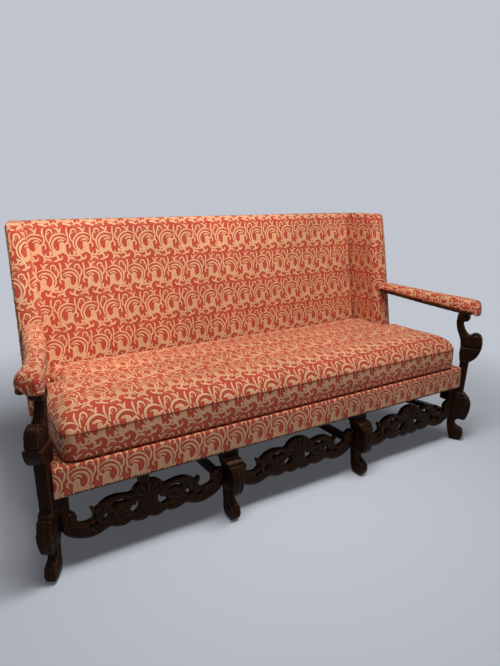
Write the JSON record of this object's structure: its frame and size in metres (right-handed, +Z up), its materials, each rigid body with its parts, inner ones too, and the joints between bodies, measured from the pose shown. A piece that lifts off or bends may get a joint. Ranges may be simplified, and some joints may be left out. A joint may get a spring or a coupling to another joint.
{
  "type": "high back settee",
  "caption": "Long upholstered settee with a tall raked winged back, open padded arms, a loose seat cushion and a dark carved underframe with scroll legs and pierced stretchers.",
  "frame": {"origin": "on the floor under the middle of the settee's length and depth", "axes": "+X along the settee to the right as seen from the front, -Y out of the front of the seat, +Z up"},
  "size_m": [2.103, 0.8926, 1.1],
  "materials": {
    "walnut": "dark stained walnut, carved, waxed to a satin sheen",
    "beech": "plain sawn beech, unfinished",
    "damask": "woven scroll damask, cream and gold on coral red",
    "cambric": "thin black lining cloth",
    "jute": "coarse woven webbing",
    "steel": "dull drawn wire"
  },
  "bodies": {
    "frame": {"front_leg_outer_left": "walnut", "front_leg_outer_right": "walnut", "front_leg_inner_left": "walnut", "front_leg_inner_right": "walnut", "arm_support_left": "walnut", "arm_support_right": "walnut", "front_stretcher_left": "walnut", "front_stretcher_centre": "walnut", "front_stretcher_right": "walnut", "stretcher_block_left": "walnut", "side_stretcher_outer_left": "walnut", "side_stretcher_outer_right": "walnut", "side_stretcher_inner_left": "walnut", "side_stretcher_inner_right": "walnut", "rear_stretcher_left": "walnut", "rear_stretcher_centre": "walnut", "rear_stretcher_right": "walnut", "back_post_outer_left": "walnut", "back_post_outer_right": "walnut", "back_post_inner_left": "walnut", "back_post_inner_right": "walnut", "arm_rail_left": "walnut", "arm_rail_right": "walnut", "back_top_rail": "beech", "back_lower_rail_left": "beech", "back_lower_rail_centre": "beech", "back_lower_rail_right": "beech", "front_seat_rail": "beech", "back_seat_rail": "beech", "side_seat_rail_left": "beech", "side_seat_rail_right": "beech", "seat_cross_rail_left": "beech", "seat_cross_rail_right": "beech", "wing_frame_left": "beech", "wing_frame_right": "beech", "seat_deck": "damask", "seat_border_front": "damask", "seat_border_left": "damask", "seat_border_right": "damask", "inside_back": "damask", "outside_back": "damask", "wing_pad_left": "damask", "wing_pad_right": "damask", "wing_cover_left": "damask", "wing_cover_right": "damask", "arm_pad_left": "damask", "arm_pad_right": "damask", "dust_cover": "cambric", "seat_webbing_left": "jute", "seat_webbing_centre": "jute", "seat_webbing_right": "jute", "seat_springs_left": "steel", "seat_springs_centre": "steel", "seat_springs_right": "steel"},
    "cushion": {"seat_cushion": "damask"}
  },
  "joints": [
    {"name": "cushion_pull", "type": "slide", "parent": "frame", "child": "cushion", "axis": [0, -1, 0], "range_m": [0, 0.45]}
  ]
}
